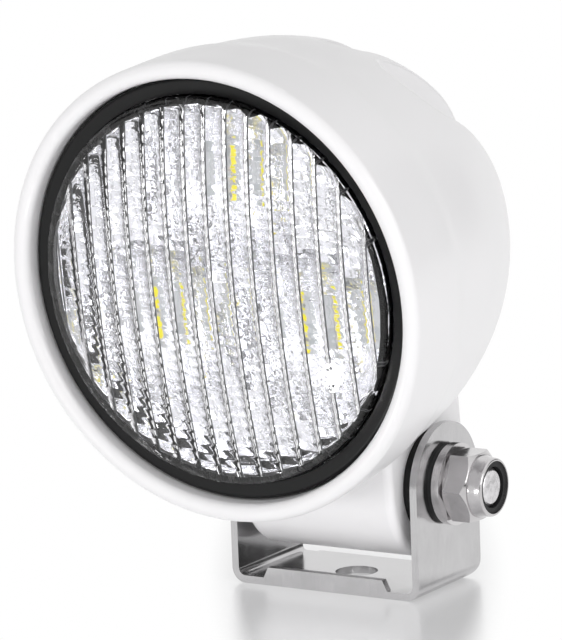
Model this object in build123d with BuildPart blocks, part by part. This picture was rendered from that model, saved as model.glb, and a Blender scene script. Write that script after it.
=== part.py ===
from build123d import *
from math import asin, cos, radians, sin, sqrt
import os

os.makedirs("parts", exist_ok=True)

# Sizes are in millimetres and degrees. X points right as seen from the front,
# the lamp faces -Y, and Z is up. The origin is the centre of the mounting hole
# at the underside of the bracket.

# Bracket of bent stainless sheet
sheet = 1.5
bracket_width = 42.6
bracket_depth = 24.0
axis_height = 21.1
ear_radius = 12.0
bend_radius = 1.5
rear_corner_radius = 4.0
base_hole_d = 8.4
flange_height = 3.6
flange_root_width = 29.6
flange_top_width = 26.0
relief_width = 1.0

# Pivot bolt, its washers and the self-locking nut
bolt_d = 8.0
bolt_hole_d = 8.4
bolt_head_across_flats = 13.0
bolt_head_height = 5.3
isolator_d = 15.6
isolator_thickness = 0.9
washer_d = 16.0
washer_bore_d = 8.4
washer_thickness = 1.6
nut_across_flats = 13.0
nut_hex_height = 5.2
nut_height = 8.0
collar_d = 12.2
insert_outer_d = 10.2
insert_depth = 2.6
insert_recess = 0.4
bolt_end_recess = 0.7
friction_disc_d = 20.4

# Pivot boss below the lamp, with its bush
boss_radius = 14.7
boss_length = 34.6
boss_edge_radius = 1.6
bush_outer_d = 12.0

# Attitude of the lamp head
rest_tilt = 6.5

# Lens, gasket and bezel
lens_radius = 37.2
lens_flange_reach = 2.6
lens_flange_thickness = 2.0
lens_shoulder_radius = 1.2
lens_height = 11.5
dome_radius = 185.0
lens_wall = 1.6
flute_pitch = 4.5
flute_depth = 1.0
flute_sweep = 12.0
gasket_thickness = 1.2
gasket_margin = 0.4
collar_wall = 0.9
collar_height = 5.0
collar_gap = 0.2
bezel_gap = 0.3
bezel_height = 4.0
bezel_slope = 0.5
bezel_edge_radius = 0.7

# Housing: opening, rolled lip and stepped hollow. Heights are measured along
# the optical axis from the bolt axis.
opening_margin = 1.0
lip_radius = 1.75
lip_centre = 42.2
rim_above_bolt = 4.5
seat_depth = 33.5
cavity_step = 1.7
spreader_seat = 18.0
pocket_ledge = 10.0
pocket_floor = -12.0
well_ledge = 11.0
well_floor = -18.5
rear_crest = -27.5
rear_crest_radius = 11.0
neck_overlap = 2.7

# Cooling ribs: a centre rib and two side ribs, with channels between them
centre_rib_width = 9.0
side_rib_inside = 13.2
side_rib_outside = 17.6
cheek_inside = 29.6
inner_channel_front = 8.0
outer_channel_front = 9.5
inner_channel_radius = 4.0
outer_channel_radius = 5.8
channel_floor_rear = -23.5
rib_edge_radius = 0.8

# Reflector with three cups, and the light sources in them
cup_count = 3
first_cup_angle = 90.0
cup_margin = 0.6
cup_throat_radius = 6.4
reflector_wall = 1.0
reflector_gap = 0.3
reflector_top_below_seat = 0.3
led_rows = 4
led_pitch = 2.75
led_width = 3.0
led_length = 2.4
led_height = 0.7
phosphor_width = 2.2
phosphor_length = 1.9
phosphor_height = 0.1

# Boards and heat path
board_thickness = 1.6
board_gap = 0.6
pad_thickness = 0.4
spreader_thickness = 3.0
lead_hole_d = 6.0
board_screw_inset = 5.0
screw_end_gap = 0.2
first_board_screw_angle = 30.0
board_screw_d = 3.0
board_screw_head_d = 5.5
board_screw_head_height = 1.8
board_screw_engagement = 7.0
driver_board_gap = 2.5
standoff_inset = 4.5
standoff_stud_length = 4.0
first_standoff_angle = 90.0
standoff_height = 8.0
standoff_across_flats = 5.5
driver_screw_d = 3.0
driver_screw_head_d = 5.5
driver_screw_head_height = 2.0
driver_screw_engagement = 5.0
coil_d = 12.0
coil_height = 7.0
coil_core_d = 5.0
coil_x = -9.0
coil_y = 5.0
capacitor_d = 8.0
capacitor_height = 11.0
capacitor_edge_radius = 0.6
upper_capacitor_x = 9.0
upper_capacitor_y = 9.0
side_capacitor_x = 15.0
side_capacitor_y = 0.0
chip_size = 7.0
chip_height = 1.6
chip_x = 3.0
chip_y = -3.0
terminal_length = 10.2
terminal_depth = 7.6
terminal_height = 10.0
terminal_y = -15.0
terminal_hole_d = 3.4
terminal_hole_depth = 2.0

# Cable gland on a round pad, and breather plug on the centre rib above it
gland_y = -10.0
gland_seat = -24.5
gland_thread_d = 12.0
gland_thread_length = 7.0
gland_across_flats = 15.0
gland_hex_height = 4.0
gland_washer_d = 15.0
gland_washer_thickness = 1.0
gland_neck_d = 11.0
gland_neck_length = 5.5
gland_nut_d = 14.4
gland_nut_length = 8.0
gland_bore_d = 8.0
cable_hole_d = 5.2
gland_pad_d = 20.0
vent_y = 6.2
vent_thread_d = 5.0
vent_thread_length = 6.0
vent_head_d = 7.2
vent_head_height = 2.0
vent_edge_radius = 0.6
vent_slot_width = 1.2
vent_slot_depth = 0.9

# Fits
seat_clearance = 0.02
running_clearance = 0.05
face_clearance = 0.05

# Values worked out from the sizes above
ear_outside = bracket_width / 2
ear_inside = ear_outside - sheet
corner_cut_start = flange_root_width / 2 + relief_width
isolator_outside = ear_outside + isolator_thickness
washer_outside = isolator_outside + washer_thickness
nut_end = washer_outside + nut_height
bolt_end = nut_end - bolt_end_recess
lens_flange_radius = lens_radius + lens_flange_reach
opening_radius = lens_flange_radius + opening_margin
rim_radius = opening_radius + 2 * lip_radius
optic_height = rim_radius + rim_above_bolt
cavity_radius = lens_radius - cavity_step
pocket_radius = cavity_radius - pocket_ledge
well_radius = pocket_radius - well_ledge
neck_height = optic_height - pocket_radius + neck_overlap
boss_half = boss_length / 2
disc_thickness = ear_inside - boss_half - face_clearance
lens_base = seat_depth + gasket_thickness
bezel_base = lens_base + lens_flange_thickness
lens_crest = lens_base + lens_height
reflector_top = seat_depth - reflector_top_below_seat
spreader_top = spreader_seat + spreader_thickness
pad_top = spreader_top + pad_thickness
board_top = pad_top + board_thickness
board_radius = cavity_radius - board_gap
board_screw_circle = cavity_radius - board_screw_inset
cup_mouth_radius = (cavity_radius - cup_margin) / (1 + 2 / sqrt(3))
cup_circle_radius = cup_mouth_radius * 2 / sqrt(3)
led_top = board_top + led_height
driver_board_base = pocket_floor + standoff_height
driver_board_top = driver_board_base + board_thickness
driver_board_radius = pocket_radius - driver_board_gap
standoff_circle = driver_board_radius - standoff_inset
lens_hollow_radius = lens_radius - lens_wall
flute_count = 2 * int(lens_hollow_radius / flute_pitch - 0.5) + 1
dome_centre = lens_crest - dome_radius
gland_washer_end = gland_seat - gland_washer_thickness
gland_hex_end = gland_washer_end - gland_hex_height

# Planes of the lamp head: lamp sits on the bolt axis, optic on the optical
# axis, and both have their normal along the beam
tilt = radians(rest_tilt)
lamp = Plane(origin=(0, 0, axis_height), x_dir=(1, 0, 0), z_dir=(0, -cos(tilt), -sin(tilt)))
optic = Plane(
    origin=lamp.from_local_coords((0, optic_height, 0)), x_dir=lamp.x_dir, z_dir=lamp.z_dir
)
optic_axis = Axis(optic.origin, optic.z_dir)
optic_section = Plane(origin=optic.origin, x_dir=optic.x_dir, z_dir=-optic.y_dir)
crown_section = Plane(origin=optic.origin, x_dir=optic.y_dir, z_dir=optic.x_dir)
lamp_side = Plane(origin=lamp.origin, x_dir=lamp.z_dir, z_dir=-lamp.x_dir)


def across(x):
    """Plane square to the bolt axis at the given X, with its normal along +X."""
    return Plane(origin=(x, 0, axis_height), x_dir=(0, 1, 0), z_dir=(1, 0, 0))


def save(body, name):
    """Label a finished piece and write it under its own name."""
    body.part.label = name
    export_step(body.part, f"parts/{name}.step")


def at(height, x=0.0, y=0.0):
    """Plane square to the beam, its origin at x, y from the optical axis."""
    return Plane(
        origin=optic.from_local_coords((x, y, height)), x_dir=optic.x_dir, z_dir=optic.z_dir
    )


def disc(plane, outer_d, inner_d, thickness):
    """Flat ring that starts on a plane and grows along its normal."""
    with BuildPart() as ring:
        with BuildSketch(plane):
            Circle(outer_d / 2)
            Circle(inner_d / 2, mode=Mode.SUBTRACT)
        extrude(amount=thickness)
    return ring


# Mounting bracket: a U of sheet with round ears, a turned-up flange at the
# front of its base, and one bolt hole
with BuildPart() as mounting_bracket:
    with BuildSketch(Plane.XZ):
        with BuildLine():
            Polyline(
                (-ear_outside, axis_height + ear_radius),
                (-ear_outside, 0),
                (ear_outside, 0),
                (ear_outside, axis_height + ear_radius),
            )
            Line((ear_outside, axis_height + ear_radius), (ear_inside, axis_height + ear_radius))
            Polyline(
                (ear_inside, axis_height + ear_radius),
                (ear_inside, sheet),
                (-ear_inside, sheet),
                (-ear_inside, axis_height + ear_radius),
            )
            Line((-ear_inside, axis_height + ear_radius), (-ear_outside, axis_height + ear_radius))
        make_face()
    extrude(amount=bracket_depth / 2, both=True)
    lengthwise = mounting_bracket.edges().filter_by(Axis.Y)
    fillet(lengthwise.group_by(Axis.Z)[0], bend_radius + sheet)
    inner_bends = (
        mounting_bracket.edges()
        .filter_by(Axis.Y)
        .filter_by_position(Axis.Z, sheet - 0.01, sheet + 0.01)
        .filter_by_position(Axis.X, -ear_inside - 0.01, ear_inside + 0.01)
    )
    fillet(inner_bends, bend_radius)
    with BuildSketch(Plane.YZ):
        with Locations((0, axis_height)):
            Circle(ear_radius)
        with Locations((0, axis_height / 2)):
            Rectangle(bracket_depth, axis_height)
    extrude(amount=ear_outside, both=True, mode=Mode.INTERSECT)
    for side in (-1, 1):
        with BuildSketch(Plane.YZ.offset(side * corner_cut_start)):
            with Locations((bracket_depth / 2, 0)):
                Rectangle(
                    rear_corner_radius, rear_corner_radius, align=(Align.MAX, Align.MIN)
                )
            with Locations((bracket_depth / 2 - rear_corner_radius, rear_corner_radius)):
                Circle(rear_corner_radius, mode=Mode.SUBTRACT)
        extrude(amount=side * (ear_outside - corner_cut_start), mode=Mode.SUBTRACT)
    with BuildSketch(Plane.XZ.offset(bracket_depth / 2)):
        with BuildLine():
            Polyline(
                (-flange_root_width / 2, 0),
                (flange_root_width / 2, 0),
                (flange_top_width / 2, flange_height),
                (-flange_top_width / 2, flange_height),
                close=True,
            )
        make_face()
    extrude(amount=-sheet)
    with Locations((0, 0, sheet)):
        Hole(base_hole_d / 2)
    with Locations(across(0)):
        Hole(bolt_hole_d / 2)
save(mounting_bracket, "mounting_bracket")

# Pivot bolt: hex head on the left, plain shank across both ears, and a
# chamfered end inside the nut
head_start = -washer_outside
with BuildPart() as pivot_bolt:
    with BuildSketch(across(head_start)):
        RegularPolygon(bolt_head_across_flats / 2, 6, major_radius=False)
    extrude(amount=-bolt_head_height)
    chamfer(pivot_bolt.faces().sort_by(Axis.X)[0].edges(), 0.5)
    with BuildSketch(across(head_start)):
        Circle(bolt_d / 2)
    extrude(amount=bolt_end - head_start)
    chamfer(pivot_bolt.faces().sort_by(Axis.X)[-1].edges(), 0.8)
save(pivot_bolt, "pivot_bolt")

# Washers: a plastic isolator against each ear and a steel washer on it
save(disc(across(ear_outside), isolator_d, bolt_hole_d, isolator_thickness), "right_isolator")
save(disc(across(-ear_outside), isolator_d, bolt_hole_d, -isolator_thickness), "left_isolator")
save(disc(across(isolator_outside), washer_d, washer_bore_d, washer_thickness), "nut_washer")
save(disc(across(-isolator_outside), washer_d, washer_bore_d, -washer_thickness), "bolt_washer")

# Rubber friction discs that hold the lamp at its angle
disc_bore_d = bolt_hole_d
save(disc(across(ear_inside), friction_disc_d, disc_bore_d, -disc_thickness), "right_friction_disc")
save(disc(across(-ear_inside), friction_disc_d, disc_bore_d, disc_thickness), "left_friction_disc")

# Self-locking nut: hexagon, then a domed collar that holds the nylon ring
nut_axis = Axis((0, 0, axis_height), (1, 0, 0))
nut_corner_radius = nut_across_flats / sqrt(3)
collar_radius = collar_d / 2
with BuildPart() as lock_nut:
    with BuildSketch(across(washer_outside)):
        RegularPolygon(nut_across_flats / 2, 6, major_radius=False)
    extrude(amount=nut_hex_height)
    with BuildSketch(Plane.XZ) as turned_outline:
        with BuildLine():
            face = washer_outside
            shoulder = washer_outside + nut_hex_height
            height = axis_height
            Polyline(
                (face, height),
                (face, height + nut_across_flats / 2),
                (face + 0.55, height + nut_corner_radius),
                (shoulder - 0.9, height + nut_corner_radius),
                (shoulder, height + nut_across_flats / 2 - 0.1),
                (shoulder, height),
                close=True,
            )
        make_face()
    revolve(axis=nut_axis, mode=Mode.INTERSECT)
    with BuildSketch(Plane.XZ):
        with BuildLine():
            Line((shoulder, height), (shoulder, height + collar_radius))
            Spline(
                (shoulder, height + collar_radius),
                (shoulder + 1.6, height + collar_radius - 0.35),
                (nut_end, height + insert_outer_d / 2 + 0.25),
                tangents=((1, 0), (0.3, -1)),
            )
            Polyline(
                (nut_end, height + insert_outer_d / 2 + 0.25),
                (nut_end, height),
                (shoulder, height),
            )
        make_face()
    revolve(axis=nut_axis)
    with BuildSketch(across(washer_outside)):
        Circle(bolt_d / 2 + seat_clearance)
    extrude(amount=nut_height, mode=Mode.SUBTRACT)
    with BuildSketch(across(nut_end)):
        Circle(insert_outer_d / 2 + seat_clearance)
    extrude(amount=-(insert_recess + insert_depth), mode=Mode.SUBTRACT)
save(lock_nut, "lock_nut")

insert_bore_d = bolt_d + 2 * seat_clearance
insert_start = across(nut_end - insert_recess)
save(disc(insert_start, insert_outer_d, insert_bore_d, -insert_depth), "nut_insert")

# Bush that turns on the bolt inside the boss
bush_bore_d = bolt_d + 2 * running_clearance
save(disc(across(-boss_half), bush_outer_d, bush_bore_d, boss_length), "pivot_bush")

# Housing, outside: a dome with a rolled lip, upright channels cut into its back
# between the ribs, and the neck that ends in the pivot boss. The profiles are
# (distance inside the rim, forward) points.
dome_insets = (
    (rim_radius - rear_crest_radius, rear_crest),
    (23.3, -24.2),
    (16.8, -19.5),
    (11.9, -12.8),
    (7.3, -4.2),
    (4.3, 4.0),
    (2.4, 12.5),
    (1.0, 24.0),
    (0, lip_centre),
)
floor_insets = (
    (rim_radius - rear_crest_radius, channel_floor_rear),
    (24.3, -20.6),
    (16.3, -13.5),
    (13.6, -8.0),
    (11.6, -2.0),
    (9.6, 6.0),
    (8.4, 14.0),
)
dome_points = [(rim_radius - inset, forward) for inset, forward in dome_insets]
floor_points = [(rim_radius - inset, forward) for inset, forward in floor_insets]
rib_plane = Plane(origin=optic.origin, x_dir=optic.x_dir, z_dir=optic.y_dir)

with BuildPart() as channel_floor:
    with BuildSketch(optic_section):
        with BuildLine():
            Line((0, channel_floor_rear), floor_points[0])
            Spline(*floor_points, tangents=((1, 0.15), (0.1, 1)))
            Polyline(floor_points[-1], (0, floor_points[-1][1]), (0, channel_floor_rear))
        make_face()
    revolve(axis=optic_axis)

with BuildPart() as channels:
    with BuildSketch(rib_plane):
        for inside, outside, front, radius in (
            (centre_rib_width / 2, side_rib_inside, inner_channel_front, inner_channel_radius),
            (side_rib_outside, cheek_inside, outer_channel_front, outer_channel_radius),
        ):
            for side in (-1, 1):
                with Locations((side * (inside + outside) / 2, -(front + 2 * rear_crest) / 2)):
                    RectangleRounded(outside - inside, front - 2 * rear_crest, radius)
    extrude(amount=rim_radius, both=True)
    add(channel_floor.part, mode=Mode.SUBTRACT)


def on_crest(edge):
    """Whether an edge lies on the dome, well above the floor of the channels."""
    return not channel_floor.part.solid().is_inside(optic.origin + (edge @ 0.5 - optic.origin) * 0.96)


with BuildPart() as ribbed_dome:
    with BuildSketch(crown_section):
        with BuildLine():
            Line((0, rear_crest), dome_points[0])
            Spline(*dome_points, tangents=((1, 0.15), (0, 1)))
            ThreePointArc(
                (rim_radius, lip_centre),
                (rim_radius - lip_radius, lip_centre + lip_radius),
                (opening_radius, lip_centre),
            )
            Polyline((opening_radius, lip_centre), (0, lip_centre), (0, rear_crest))
        make_face()
    revolve(axis=optic_axis)
    add(channels.part, mode=Mode.SUBTRACT)
    walls = ribbed_dome.faces().filter_by(Plane.YZ) + ribbed_dome.faces().filter_by(GeomType.CYLINDER)
    crest_edges = [
        edge
        for edge in ribbed_dome.edges()
        if sum(edge in wall.edges() for wall in walls) == 1 and on_crest(edge)
    ]
    fillet(crest_edges, rib_edge_radius)

with BuildPart() as boss:
    with BuildSketch(lamp_side):
        Circle(boss_radius)
        Rectangle(2 * boss_radius, neck_height, align=(Align.CENTER, Align.MIN))
    extrude(amount=boss_half, both=True)
    end_faces = boss.faces().filter_by(Plane.YZ)
    fillet(end_faces.edges(), boss_edge_radius)

with BuildPart() as housing:
    add(ribbed_dome.part)
    add(boss.part)
    # Round pad for the gland, cut flat through the centre rib
    with BuildSketch(at(gland_seat, y=gland_y)):
        Circle(gland_pad_d / 2)
    extrude(amount=rear_crest - gland_seat, mode=Mode.SUBTRACT)
    with BuildSketch(at(gland_seat, y=gland_y)):
        Circle(gland_pad_d / 2)
    extrude(amount=pocket_floor - gland_seat)
    # Stepped hollow behind the lens
    steps = (
        (opening_radius, seat_depth),
        (cavity_radius, spreader_seat),
        (pocket_radius, pocket_floor),
        (well_radius, well_floor),
    )
    for radius, depth in steps:
        with BuildSketch(at(depth)):
            Circle(radius)
        extrude(amount=lip_centre + lip_radius - depth, mode=Mode.SUBTRACT)
    # Cross bore for the bush
    with BuildSketch(across(-boss_half)):
        Circle(bush_outer_d / 2 + seat_clearance)
    extrude(amount=boss_length, mode=Mode.SUBTRACT)
    # Blind holes for the board screws and the standoff studs
    with BuildSketch(at(spreader_seat)):
        with PolarLocations(board_screw_circle, 3, start_angle=first_board_screw_angle):
            Circle(board_screw_d / 2 + seat_clearance)
    extrude(amount=-board_screw_engagement, mode=Mode.SUBTRACT)
    with BuildSketch(at(pocket_floor)):
        with PolarLocations(standoff_circle, 3, start_angle=first_standoff_angle):
            Circle(driver_screw_d / 2 + seat_clearance)
    extrude(amount=-standoff_stud_length, mode=Mode.SUBTRACT)
    # Gland hole and breather hole
    with BuildSketch(at(gland_seat, y=gland_y)):
        Circle(gland_thread_d / 2 + seat_clearance)
    extrude(amount=pocket_floor - gland_seat, mode=Mode.SUBTRACT)
    with BuildSketch(at(rear_crest, y=vent_y)):
        Circle(vent_thread_d / 2 + seat_clearance)
    extrude(amount=pocket_floor - rear_crest, mode=Mode.SUBTRACT)
save(housing, "housing")

# Gasket, lens and bezel ring in the front opening. The gasket is an L: a flat
# ring under the lens flange, with a collar that stands up inside the lens.
gasket_outer_radius = lens_flange_radius + gasket_margin
collar_outer_radius = lens_hollow_radius - collar_gap
collar_inner_radius = collar_outer_radius - collar_wall
with BuildPart() as lens_gasket:
    with BuildSketch(optic_section):
        Polygon(
            (collar_inner_radius, seat_depth),
            (gasket_outer_radius, seat_depth),
            (gasket_outer_radius, lens_base),
            (collar_outer_radius, lens_base),
            (collar_outer_radius, lens_base + collar_height),
            (collar_inner_radius, lens_base + collar_height),
            align=None,
        )
    revolve(axis=optic_axis)
save(lens_gasket, "lens_gasket")

# The lens is a shallow dome with a rounded shoulder. Its inner side carries
# upright flutes: each is a small arc across, swept up and down along the dome.
shoulder_angle = asin(
    (lens_radius - lens_shoulder_radius) / (dome_radius - lens_shoulder_radius)
)
shoulder_height = dome_centre + (dome_radius - lens_shoulder_radius) * cos(shoulder_angle)
shoulder_end = (dome_radius * sin(shoulder_angle), dome_centre + dome_radius * cos(shoulder_angle))
dome_plane = Plane(
    origin=optic.from_local_coords((0, 0, dome_centre)), x_dir=optic.x_dir, z_dir=-optic.y_dir
)
with BuildPart() as fluted_hollow:
    with BuildSketch(dome_plane.rotated((-flute_sweep, 0, 0))):
        with BuildLine():
            half_span = flute_count * flute_pitch / 2
            crown = dome_radius - lens_wall
            for flute in range(flute_count):
                left = flute * flute_pitch - half_span
                middle = left + flute_pitch / 2
                right = left + flute_pitch
                ThreePointArc(
                    (left, sqrt(crown**2 - left**2)),
                    (middle, sqrt(crown**2 - middle**2) - flute_depth),
                    (right, sqrt(crown**2 - right**2)),
                )
            edge_height = sqrt(crown**2 - half_span**2)
            Polyline(
                (-half_span, edge_height),
                (-lens_hollow_radius, edge_height),
                (-lens_hollow_radius, lens_base - dome_centre - 4),
                (lens_hollow_radius, lens_base - dome_centre - 4),
                (lens_hollow_radius, edge_height),
                (half_span, edge_height),
            )
        make_face()
    revolve(axis=Axis(dome_plane.origin, optic.x_dir), revolution_arc=2 * flute_sweep)
    with BuildSketch(at(lens_base)):
        Circle(lens_hollow_radius)
    extrude(amount=lens_crest - lens_base, mode=Mode.INTERSECT)

with BuildPart() as lens:
    with BuildSketch(optic_section):
        with BuildLine():
            Polyline(
                (0, lens_crest),
                (0, lens_base),
                (lens_flange_radius, lens_base),
                (lens_flange_radius, bezel_base),
                (lens_radius, bezel_base),
                (lens_radius, shoulder_height),
            )
            ThreePointArc(
                (lens_radius, shoulder_height),
                (
                    lens_radius - lens_shoulder_radius * (1 - cos((radians(90) - shoulder_angle) / 2)),
                    shoulder_height + lens_shoulder_radius * sin((radians(90) - shoulder_angle) / 2),
                ),
                shoulder_end,
            )
            RadiusArc(shoulder_end, (0, lens_crest), -dome_radius)
        make_face()
    revolve(axis=optic_axis)
    add(fluted_hollow.part, mode=Mode.SUBTRACT)
save(lens, "lens")

bezel_inner_radius = lens_radius + bezel_gap
bezel_outer_radius = opening_radius - bezel_gap
with BuildPart() as bezel_ring:
    with BuildSketch(optic_section):
        Polygon(
            (bezel_inner_radius, bezel_base),
            (bezel_outer_radius, bezel_base),
            (bezel_outer_radius, bezel_base + bezel_height),
            (bezel_inner_radius, bezel_base + bezel_height - bezel_slope),
            align=None,
        )
    revolve(axis=optic_axis)
    front_edges = bezel_ring.edges().sort_by(optic_axis)[-2:]
    fillet(front_edges, bezel_edge_radius)
save(bezel_ring, "bezel_ring")


def cup(angle, wall):
    """Half section of one reflector cup, grown outward by the wall thickness."""
    x = cup_circle_radius * cos(radians(angle))
    y = cup_circle_radius * sin(radians(angle))
    throat = cup_throat_radius + wall
    mouth = cup_mouth_radius + wall
    slope = 2 * (reflector_top - board_top) / (mouth**2 - throat**2)
    middle = (throat + mouth) / 2
    section = Plane(
        origin=optic.from_local_coords((x, y, 0)), x_dir=optic.x_dir, z_dir=-optic.y_dir
    )
    with BuildPart() as body:
        with BuildSketch(section):
            with BuildLine():
                Bezier(
                    (throat, board_top),
                    (middle, board_top + slope * throat * (middle - throat)),
                    (mouth, reflector_top),
                )
                Polyline((mouth, reflector_top), (0, reflector_top), (0, board_top), (throat, board_top))
            make_face()
        revolve(axis=Axis(section.origin, optic.z_dir))
    return body.part


# Reflector: one plate with three parabolic cups that stand on the LED board
cup_angles = [first_cup_angle + index * 360 / cup_count for index in range(cup_count)]
with BuildPart() as reflector:
    with BuildSketch(at(reflector_top)):
        Circle(cavity_radius - reflector_gap)
    extrude(amount=-reflector_wall)
    for angle in cup_angles:
        add(cup(angle, reflector_wall))
    with BuildSketch(at(board_top)):
        Circle(cavity_radius - reflector_gap)
    extrude(amount=reflector_top - board_top, mode=Mode.INTERSECT)
    for angle in cup_angles:
        add(cup(angle, 0), mode=Mode.SUBTRACT)
save(reflector, "reflector")


def led_column(height, width, length, thickness):
    """Upright row of rectangular blocks in the middle of every cup."""
    with BuildPart() as blocks:
        with BuildSketch(at(height)):
            with PolarLocations(cup_circle_radius, cup_count, start_angle=first_cup_angle, rotate=False):
                with GridLocations(width, led_pitch, 1, led_rows):
                    Rectangle(width, length)
        extrude(amount=thickness)
    return blocks


save(led_column(board_top, led_width, led_length, led_height), "led_packages")
save(led_column(led_top, phosphor_width, phosphor_length, phosphor_height), "led_phosphors")


def round_plate(height, radius, thickness):
    """Round plate in the cavity, drilled for the board screws and the leads."""
    with BuildPart() as plate:
        with BuildSketch(at(height)):
            Circle(radius)
            Circle(lead_hole_d / 2, mode=Mode.SUBTRACT)
            with PolarLocations(board_screw_circle, 3, start_angle=first_board_screw_angle):
                Circle(board_screw_d / 2 + seat_clearance, mode=Mode.SUBTRACT)
        extrude(amount=thickness)
    return plate


save(round_plate(spreader_seat, cavity_radius - seat_clearance, spreader_thickness), "heat_spreader")
save(round_plate(spreader_top, board_radius, pad_thickness), "thermal_pad")
save(round_plate(pad_top, board_radius, board_thickness), "led_board")


def screws(plane, circle, start_angle, shank_d, head_d, head_height, grip):
    """Three round-headed screws with a hexagon socket, heads on the plane."""
    with BuildPart() as group:
        with BuildSketch(plane):
            with PolarLocations(circle, 3, start_angle=start_angle):
                Circle(head_d / 2)
        extrude(amount=head_height)
        tops = group.faces().sort_by(optic_axis)[-3:]
        fillet(tops.edges(), head_height * 0.45)
        with BuildSketch(plane.offset(head_height)):
            with PolarLocations(circle, 3, start_angle=start_angle):
                RegularPolygon(head_d * 0.23, 6)
        extrude(amount=-head_height * 0.6, mode=Mode.SUBTRACT)
        with BuildSketch(plane):
            with PolarLocations(circle, 3, start_angle=start_angle):
                Circle(shank_d / 2)
        extrude(amount=-grip)
    return group


save(
    screws(
        at(board_top),
        board_screw_circle,
        first_board_screw_angle,
        board_screw_d,
        board_screw_head_d,
        board_screw_head_height,
        board_top - spreader_seat + board_screw_engagement - screw_end_gap,
    ),
    "board_screws",
)
save(
    screws(
        at(driver_board_top),
        standoff_circle,
        first_standoff_angle,
        driver_screw_d,
        driver_screw_head_d,
        driver_screw_head_height,
        board_thickness + driver_screw_engagement - screw_end_gap,
    ),
    "driver_screws",
)

# Driver board on three hexagonal standoffs at the bottom of the housing
with BuildPart() as driver_standoffs:
    with BuildSketch(at(pocket_floor)):
        with PolarLocations(standoff_circle, 3, start_angle=first_standoff_angle):
            RegularPolygon(standoff_across_flats / 2, 6, major_radius=False)
    extrude(amount=standoff_height)
    with BuildSketch(at(pocket_floor)):
        with PolarLocations(standoff_circle, 3, start_angle=first_standoff_angle):
            Circle(driver_screw_d / 2)
    extrude(amount=-(standoff_stud_length - screw_end_gap))
    with BuildSketch(at(driver_board_base)):
        with PolarLocations(standoff_circle, 3, start_angle=first_standoff_angle):
            Circle(driver_screw_d / 2 + seat_clearance)
    extrude(amount=-driver_screw_engagement, mode=Mode.SUBTRACT)
save(driver_standoffs, "driver_standoffs")

with BuildPart() as driver_board:
    with BuildSketch(at(driver_board_base)):
        Circle(driver_board_radius)
        with PolarLocations(standoff_circle, 3, start_angle=first_standoff_angle):
            Circle(driver_screw_d / 2 + seat_clearance, mode=Mode.SUBTRACT)
    extrude(amount=board_thickness)
save(driver_board, "driver_board")

save(disc(at(driver_board_top, x=coil_x, y=coil_y), coil_d, coil_core_d, coil_height), "driver_coil")
with BuildPart() as driver_capacitors:
    for x, y in ((upper_capacitor_x, upper_capacitor_y), (side_capacitor_x, side_capacitor_y)):
        with BuildSketch(at(driver_board_top, x, y)):
            Circle(capacitor_d / 2)
        extrude(amount=capacitor_height)
    cans = driver_capacitors.faces().sort_by(optic_axis)[-2:]
    fillet(cans.edges(), capacitor_edge_radius)
save(driver_capacitors, "driver_capacitors")
with BuildPart() as driver_chip:
    with BuildSketch(at(driver_board_top, x=chip_x, y=chip_y)):
        Rectangle(chip_size, chip_size)
    extrude(amount=chip_height)
save(driver_chip, "driver_chip")
with BuildPart() as terminal_block:
    terminal_plane = at(driver_board_top, y=terminal_y)
    with BuildSketch(terminal_plane):
        Rectangle(terminal_length, terminal_depth)
    extrude(amount=terminal_height)
    with BuildSketch(terminal_plane.offset(terminal_height)):
        with GridLocations(terminal_length / 2, 0, 2, 1):
            Circle(terminal_hole_d / 2)
    extrude(amount=-terminal_hole_depth, mode=Mode.SUBTRACT)
save(terminal_block, "terminal_block")

# Cable gland: sealing washer, threaded body, rubber grommet and domed nut
save(
    disc(
        at(gland_seat, y=gland_y),
        gland_washer_d,
        gland_thread_d + 2 * seat_clearance,
        -gland_washer_thickness,
    ),
    "gland_washer",
)
with BuildPart() as gland_body:
    with BuildSketch(at(gland_washer_end, y=gland_y)):
        Circle(gland_thread_d / 2)
    extrude(amount=gland_thread_length)
    with BuildSketch(at(gland_washer_end, y=gland_y)):
        RegularPolygon(gland_across_flats / 2, 6, major_radius=False)
    extrude(amount=-gland_hex_height)
    with BuildSketch(at(gland_hex_end, y=gland_y)):
        Circle(gland_neck_d / 2)
    extrude(amount=-gland_neck_length)
    with BuildSketch(at(gland_hex_end - gland_neck_length, y=gland_y)):
        Circle(gland_bore_d / 2)
    extrude(
        amount=gland_washer_end + gland_thread_length - gland_hex_end + gland_neck_length,
        mode=Mode.SUBTRACT,
    )
save(gland_body, "gland_body")
with BuildPart() as gland_nut:
    with BuildSketch(at(gland_hex_end, y=gland_y)):
        Circle(gland_nut_d / 2)
    extrude(amount=-gland_nut_length)
    fillet(gland_nut.edges().sort_by(optic_axis)[0], 2.4)
    with BuildSketch(at(gland_hex_end, y=gland_y)):
        Circle(gland_neck_d / 2 + seat_clearance)
    extrude(amount=-gland_neck_length, mode=Mode.SUBTRACT)
    with BuildSketch(at(gland_hex_end, y=gland_y)):
        Circle(gland_bore_d / 2)
    extrude(amount=-gland_nut_length, mode=Mode.SUBTRACT)
    with BuildSketch(at(gland_hex_end, y=gland_y)):
        with PolarLocations(gland_nut_d / 2 + 0.5, 12):
            Circle(0.9)
    extrude(amount=-(gland_nut_length - 2.6), mode=Mode.SUBTRACT)
save(gland_nut, "gland_nut")
save(
    disc(
        at(gland_hex_end, y=gland_y),
        gland_bore_d - 2 * seat_clearance,
        cable_hole_d,
        -gland_nut_length,
    ),
    "gland_grommet",
)

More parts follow.
